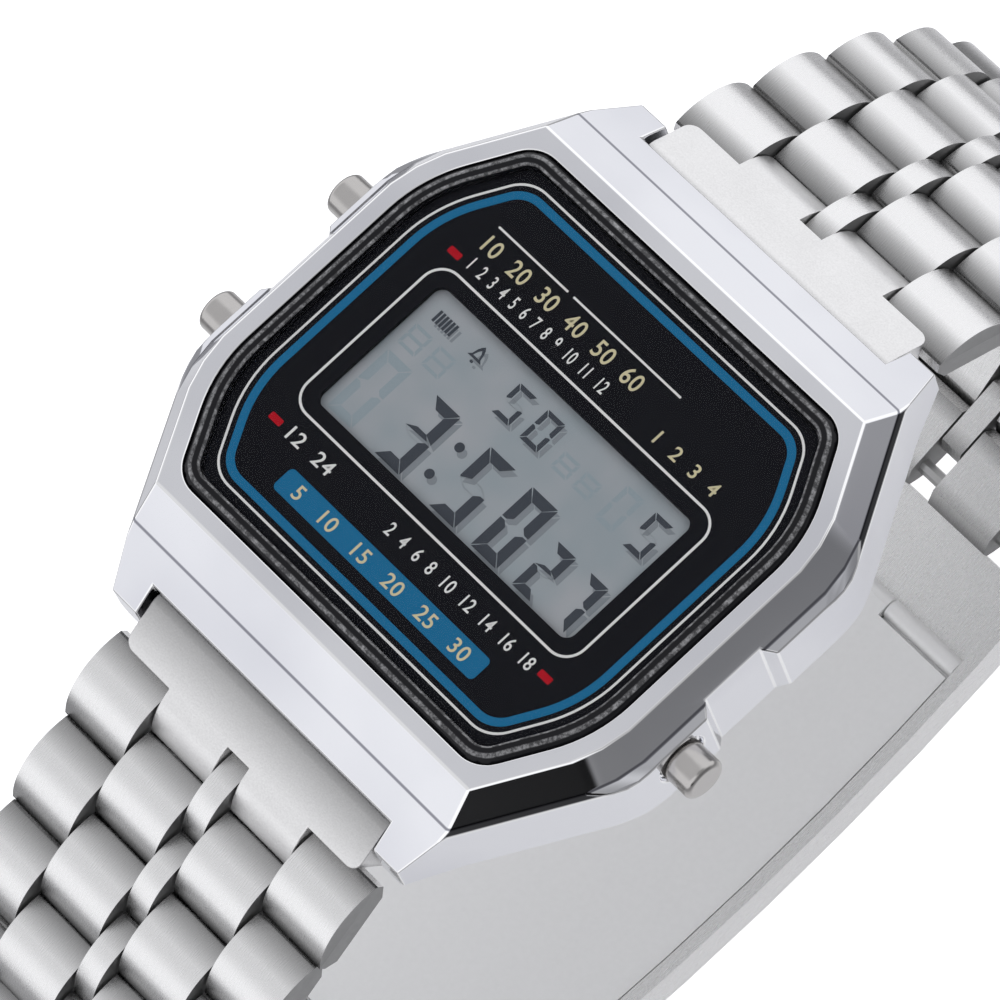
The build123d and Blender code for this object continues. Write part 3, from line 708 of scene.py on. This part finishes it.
def eight_sided(half_x, half_y, corner, inset, tight, wide, steps=8):
    """Eight-sided outline: tight corners beside 12 and 6 o'clock, wide beside 3 and 9."""
    nx, ny = math.cos(math.radians(30.2)), math.sin(math.radians(30.2))
    x, y, c = half_x - inset, half_y - inset, corner - inset
    quarter = [(x, (c - x * nx) / ny), ((c - y * ny) / nx, y)]
    upper = quarter + [(-a, b) for a, b in reversed(quarter)]
    points = [Vector(p) for p in upper + [(-a, -b) for a, b in upper]]
    corners = []
    for k, point in enumerate(points):
        before, after = (points[k - 1] - point).normalized(), (points[(k + 1) % 8] - point).normalized()
        half = before.angle(after) / 2
        radius = wide if k % 4 in (0, 3) else tight
        reach = radius / math.tan(half)
        middle = point + (before + after).normalized() * (radius / math.sin(half))
        first, last = point + before * reach - middle, point + after * reach - middle
        sweep = first.angle_signed(last)
        for step in range(steps + 1):
            corners.append(tuple(middle + Matrix.Rotation(-sweep * step / steps, 2) @ first))
    return corners


def printed(name, outlines, low, thick, material, node="face_plate"):
    """Thin flat print from closed outlines; an outline inside another is its hole."""
    curve = bpy.data.curves.new(name, "CURVE")
    curve.dimensions = "2D"
    curve.fill_mode = "BOTH"
    curve.extrude = thick / 2 * mm
    for outline in outlines:
        spline = curve.splines.new("POLY")
        spline.points.add(len(outline) - 1)
        for point, (x, y) in zip(spline.points, outline):
            point.co = (x * mm, y * mm, 0, 1)
        spline.use_cyclic_u = True
    piece = bpy.data.objects.new(name, curve)
    bpy.context.scene.collection.objects.link(piece)
    piece.location.z = (low + thick / 2) * mm
    take(piece)
    bpy.ops.object.convert(target="MESH")
    piece = settle(named(name))
    dress(piece, material)
    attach(piece, body_of(node))
    return piece


def number_row(name, words, x0, x1, y, height, material):
    """A row of plain numbers between two sides, made a mesh before it is placed."""
    let_go()
    bpy.ops.object.text_add()
    row = named(name)
    row.data.body = words
    row.data.extrude = 0.006 * mm
    row.data.size = 1.4 * height * mm
    row.data.space_character = 1.1
    row.data.offset = 0.015 * height * mm
    bpy.ops.object.convert(target="MESH")
    row = take(bpy.context.object)
    across = [vertex.co.x for vertex in row.data.vertices]
    upward = [vertex.co.y for vertex in row.data.vertices]
    wide = (x1 - x0) * mm / (max(across) - min(across))
    tall = height * mm / (max(upward) - min(upward))
    row.scale = (wide, tall, 1)
    row.location = (
        x0 * mm - min(across) * wide, (y - height / 2) * mm - min(upward) * tall, (plate_top + 0.018) * mm)
    row = settle(named(name))
    dress(row, material)
    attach(row, body_of("face_plate"))
    return row


def segments(text, x0, x1, size):
    """One seven-segment figure between two sides, of a size's bottom, top and thickness."""
    y0, y1, t = size
    gap = 0.05
    my = (y0 + y1) / 2
    h = t / 2
    forms = {
        "a": [(x0 + gap, y1), (x1 - gap, y1), (x1 - t, y1 - t), (x0 + t, y1 - t)],
        "b": [(x1, y1 - gap), (x1, my + gap), (x1 - h, my + gap), (x1 - t, my + h), (x1 - t, y1 - t - gap)],
        "c": [(x1, my - gap), (x1, y0 + gap), (x1 - t, y0 + t + gap), (x1 - t, my - h), (x1 - h, my - gap)],
        "d": [(x0 + gap, y0), (x1 - gap, y0), (x1 - t, y0 + t), (x0 + t, y0 + t)],
        "e": [(x0, my - gap), (x0 + h, my - gap), (x0 + t, my - h), (x0 + t, y0 + t + gap), (x0, y0 + gap)],
        "f": [(x0, y1 - gap), (x0 + t, y1 - t - gap), (x0 + t, my + h), (x0 + h, my + gap), (x0, my + gap)],
        "g": [(x0 + gap, my), (x0 + t, my + h), (x1 - t, my + h), (x1 - gap, my), (x1 - t, my - h),
              (x0 + t, my - h)],
    }
    parts = {"0": "abcdef", "2": "abged", "3": "abgcd", "5": "afgcd", "7": "abc", "8": "abcdefg"}
    return [forms[part] for part in parts[text]]


def bell_line(half):
    """Both sides of the bell, from the points of one side up to its top."""
    return [(bell_x - x, y) for x, y in half] + [(bell_x + x, y) for x, y in reversed(half[:-1])]


plate_top = 7.6
blue = [eight_sided(12.53, 10.58, 14.1, 0, 1.9, 7.6), eight_sided(12.53, 10.58, 14.1, 0.45, 1.5, 7.15)]
band = [rounded(7.55, 0.72, 0.3, (0, -8.73))]
thin = [eight_sided(12.95, 11.0, 14.5, 0, 2.0, 8.0), eight_sided(12.95, 11.0, 14.5, 0.13, 1.9, 7.87)]
window_line = [rounded(10.5, 5.28, 1.3, (0, -0.4)), rounded(10.36, 5.14, 1.16, (0, -0.4))]
bars = [box(-9.63, -4.40, 7.99, 8.11), box(-3.98, 4.03, 7.99, 8.11)]
red = [rounded(0.42, 0.2, 0.08, centre) for centre in ((-10.22, 5.53), (-10.12, -6.85), (10.07, -6.73))]
printed("print_blue_line", blue, plate_top, 0.01, BLUE_INK)
printed("print_blue_band", band, plate_top, 0.01, BLUE_INK)
printed("print_white_lines", thin + window_line + bars, plate_top, 0.012, WHITE_INK)
printed("print_red_marks", red, plate_top, 0.01, RED_INK)

# Name, numbers, both sides in x, middle in y, height and ink
for number_line in (
        ("numbers_upper_gold", "10  20  30  40  50  60", -9.5, 2.1, 7.05, 1.0, GOLD_INK),
        ("numbers_upper_white", "1  2  3  4  5  6  7  8  9  10  11  12", -9.2, 0.95, 5.75, 0.78, WHITE_INK),
        ("numbers_lower_left", "12  24", -9.1, -5.9, -6.8, 0.82, WHITE_INK),
        ("numbers_lower_white", "2  4  6  8  10  12  14  16  18", -1.6, 9.2, -6.8, 0.78, WHITE_INK),
        ("numbers_right_gold", "1  2  3  4", 4.66, 9.1, 5.83, 0.8, GOLD_INK),
        ("numbers_on_band", "5   10   15   20   25   30", -6.5, 6.5, -8.73, 0.85, GOLD_INK)):
    number_row(*number_line)

# Bottom, top and thickness of the figures of each field
lcd_top = 7.15
HOURS, RESTING_HOURS, SECONDS = (-4.52, -0.25, 0.6), (-4.52, -0.25, 0.52), (-4.5, -1.34, 0.48)
DAY, DATE = (0.77, 3.12, 0.3), (1.08, 3.12, 0.27)
SMALL_LOW, SMALL_HIGH = (0.3, 1.7, 0.2), (1.08, 2.2, 0.2)
SHOWN = (
    ("3", -5.35, -3.48, HOURS), ("5", -1.22, 0.69, HOURS), ("0", 1.93, 3.86, HOURS),
    ("2", 5.0, 6.41, SECONDS), ("7", 7.43, 8.81, SECONDS), ("5", 7.46, 8.75, DAY),
    ("5", -2.68, -1.4, DATE), ("0", -0.58, 0.71, DATE),
)
RESTING = (
    ("8", -9.0, -7.13, RESTING_HOURS), ("8", 5.35, 6.64, DAY), ("8", -9.0, -7.7, SMALL_LOW),
    ("8", -7.2, -5.9, SMALL_LOW), ("8", 1.7, 2.9, SMALL_HIGH), ("8", 3.3, 4.5, SMALL_HIGH),
)
bell_x = -5.39
bell = bell_line([(0.49, 2.36), (0.31, 2.52), (0.23, 2.86), (0.13, 3.06), (0, 3.2)])
bell_hollow = bell_line([(0.21, 2.5), (0.11, 2.8), (0, 2.95)])
figures = [form for figure in SHOWN for form in segments(*figure)]
figures += [rounded(0.27, 0.27, 0.26, centre) for centre in ((-2.34, -1.38), (-2.40, -3.39))]
figures += [box(-8.58 + 0.24 * k, -8.42 + 0.24 * k, 2.3, 3.02) for k in range(6)]
figures += [bell, bell_hollow, rounded(0.1, 0.07, 0.06, (bell_x, 2.18))]
# Painted shadow: copies of the figures shifted right and down, drawn under them in a paler grey.
shade = [[(x + 0.34, y - 0.14) for x, y in outline] for outline in figures]
ghosts = [form for figure in RESTING for form in segments(*figure)]
printed("lcd_resting_segments", ghosts, lcd_top, 0.003, GHOST, "lcd_panel")
printed("lcd_figure_painted_shadow", shade, lcd_top, 0.006, SEGMENT_PAINTED_SHADOW, "lcd_panel")
printed("lcd_figures", figures, lcd_top, 0.02, SEGMENT, "lcd_panel")

# Glass, with a hair of air under it
pane = cast_from("glass", "clear_pane")
shift(pane, lambda spot: spot.z < (plate_top + 0.05) * mm, (0, 0, 0.04 * mm))
soften(pane, 0.03, 2, 35.0, 35.0)
stand_in(pane, GLASS, "glass")

# Shown solids
for node, material in {
    "face_plate": PLATE, "lcd_panel": LCD, "light_guide": PLASTIC, "lamp": WHITE_INK, "zebra_strips": RUBBER,
    "module_frame": PLASTIC, "circuit_board": BOARD, "chip_cap": RUBBER, "quartz_can": PIN_STEEL,
    "button_contacts": PIN_STEEL, "module_back": PLASTIC, "battery": BACK_STEEL, "battery_contact": PIN_STEEL,
    "battery_clip": PIN_STEEL, "piezo_disc": BRASS, "piezo_spring": PIN_STEEL, "back_gasket": RUBBER,
    "back_screws": PIN_STEEL, "light_spring": PIN_STEEL, "mode_spring": PIN_STEEL, "start_spring": PIN_STEEL,
    "button_seals": RUBBER, "spring_bar_top": PIN_STEEL, "spring_bar_bottom": PIN_STEEL,
    "clasp_bar": PIN_STEEL,
}.items():
    dress(frame["nodes"][node], material)

# Camera at the photograph's angle
to_camera = Vector((0.40069, -0.14230, 0.90509))
right = Vector((0.66168, 0.72825, -0.17843))
up = Vector((-0.63374, 0.67038, 0.38596))
aim = Vector((0, 0, plate_top * mm))
camera_distance = 404.2 * mm
camera = bpy.data.objects.new("camera", bpy.data.cameras.new("camera"))
bpy.context.scene.collection.objects.link(camera)
turn = Matrix((right, up, to_camera)).transposed().to_4x4()
camera.matrix_world = Matrix.Translation(aim + to_camera * camera_distance) @ turn
camera.data.lens = 292.5
camera.data.sensor_width = 36
camera.data.shift_x = -0.00922
camera.data.shift_y = -0.0447
camera.data.clip_start = 0.02
camera.data.clip_end = 20
bpy.context.scene.camera = camera

# Floor, paler to the camera and away from the middle
let_go()
below = cad_box[0].z - 0.0002
bpy.ops.mesh.primitive_circle_add(vertices=96, radius=0.3, fill_type="NGON", location=(0, 0, below))
floor = settle(named("floor"))
pale, dim = (0.94, 0.94, 0.95), (0.28, 0.28, 0.29)
floor_material, floor_tree, floor_shader = finish("floor_pale", pale, 0.0, 0.9)
seen_by = floor_tree.nodes.new("ShaderNodeLightPath").outputs["Is Camera Ray"]
floor_shader.inputs["Emission Color"].default_value = (1.0, 1.0, 1.0, 1)
floor_tree.links.new(spread(floor_tree, seen_by, 0.1, 0.7), floor_shader.inputs["Emission Strength"])
from_middle = floor_tree.nodes.new("ShaderNodeVectorMath")
from_middle.operation = "LENGTH"
floor_tree.links.new(place(floor_tree, "Object", (1, 1, 0)), from_middle.inputs[0])
near_middle = spread(floor_tree, from_middle.outputs["Value"], 1.0, 0.0, 0.045, 0.11)
paler = worked_out(floor_tree, "MAXIMUM", near_middle, seen_by)
floor_tree.links.new(blend_colours(floor_tree, paler, dim, pale), floor_shader.inputs["Base Color"])
floor.data.materials.append(floor_material)

# Soft light from a studio with bright and dark sides
world = bpy.data.worlds.new("studio")
bpy.context.scene.world = world
world.use_nodes = True
studio = world.node_tree
background = studio.nodes["Background"]
ray = studio.nodes.new("ShaderNodeTexCoord").outputs["Generated"]


def toward(direction, start, stop, low, high):
    """Value that goes from low to high as a ray turns towards a direction."""
    dot = studio.nodes.new("ShaderNodeVectorMath")
    dot.operation = "DOT_PRODUCT"
    dot.inputs[1].default_value = Vector(direction).normalized()
    studio.links.new(ray, dot.inputs[0])
    ramp = studio.nodes.new("ShaderNodeMapRange")
    ramp.interpolation_type = "SMOOTHSTEP"
    ramp.inputs["From Min"].default_value = start
    ramp.inputs["From Max"].default_value = stop
    ramp.inputs["To Min"].default_value = low
    ramp.inputs["To Max"].default_value = high
    studio.links.new(dot.outputs["Value"], ramp.inputs["Value"])
    return ramp.outputs["Result"]


level = toward((-0.35, -0.25, 0.90), 0.68, 0.87, 1.04, 0.72)
for side in (
        ((0.55, 0.14, 0.83), 0.86, 0.97, 1.0, 0.45), ((0.98, 0.14, -0.10), 0.60, 0.90, 1.0, 0.22),
        ((0.82, -0.57, -0.02), 0.975, 0.988, 1.0, 0.03)):
    level = worked_out(studio, "MULTIPLY", level, toward(*side))
seen = studio.nodes.new("ShaderNodeMix")
studio.links.new(studio.nodes.new("ShaderNodeLightPath").outputs["Is Camera Ray"], seen.inputs["Factor"])
studio.links.new(level, seen.inputs["A"])
seen.inputs["B"].default_value = 1.04
studio.links.new(seen.outputs["Result"], background.inputs["Strength"])
background.inputs["Color"].default_value = (0.97, 0.975, 1.0, 1)

bpy.context.scene.view_settings.view_transform = "Standard"
